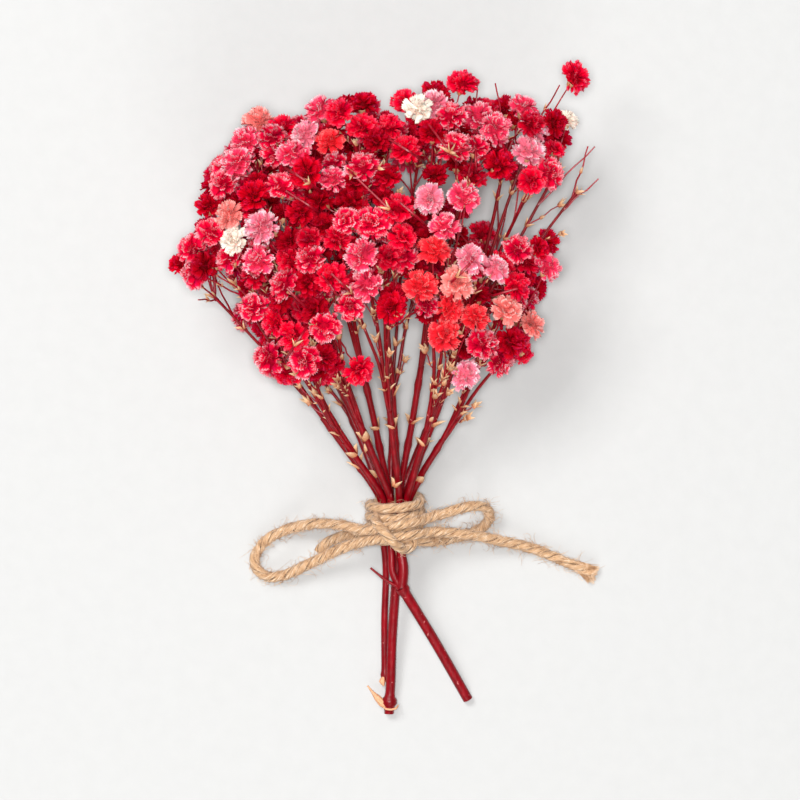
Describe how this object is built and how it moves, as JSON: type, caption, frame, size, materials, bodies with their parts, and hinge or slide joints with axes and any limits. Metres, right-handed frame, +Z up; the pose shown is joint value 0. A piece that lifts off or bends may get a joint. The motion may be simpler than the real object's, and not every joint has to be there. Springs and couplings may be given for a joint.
{
  "type": "bunch of dried baby's breath",
  "caption": "Bunch of dyed, preserved double baby's breath, bound with a jute twine bow and lying on its back, for decoration.",
  "frame": {"origin": "on the surface that the bunch lies on, under the middle of its stems and blooms", "axes": "+Y along the bunch from the cut stems to the blooms, +Z up from the surface, +X to the right seen from above"},
  "size_m": [0.1212, 0.1831, 0.0655],
  "materials": {
    "dyed_flower": "matte",
    "jute": "matte"
  },
  "bodies": {
    "root": {"spray_lower_left": "dyed_flower", "spray_left_wing": "dyed_flower", "spray_middle_left": "dyed_flower", "spray_middle": "dyed_flower", "spray_coral": "dyed_flower", "spray_right": "dyed_flower", "spray_upper_left": "dyed_flower", "spray_top_left": "dyed_flower", "spray_top_middle": "dyed_flower", "spray_top_right": "dyed_flower", "spray_upper_right": "dyed_flower", "spray_back_left": "dyed_flower", "spray_back_middle": "dyed_flower", "spray_back_right": "dyed_flower", "twine_tie": "jute", "twine_loop_left": "jute", "twine_loop_right": "jute", "twine_tail": "jute"}
  },
  "joints": []
}
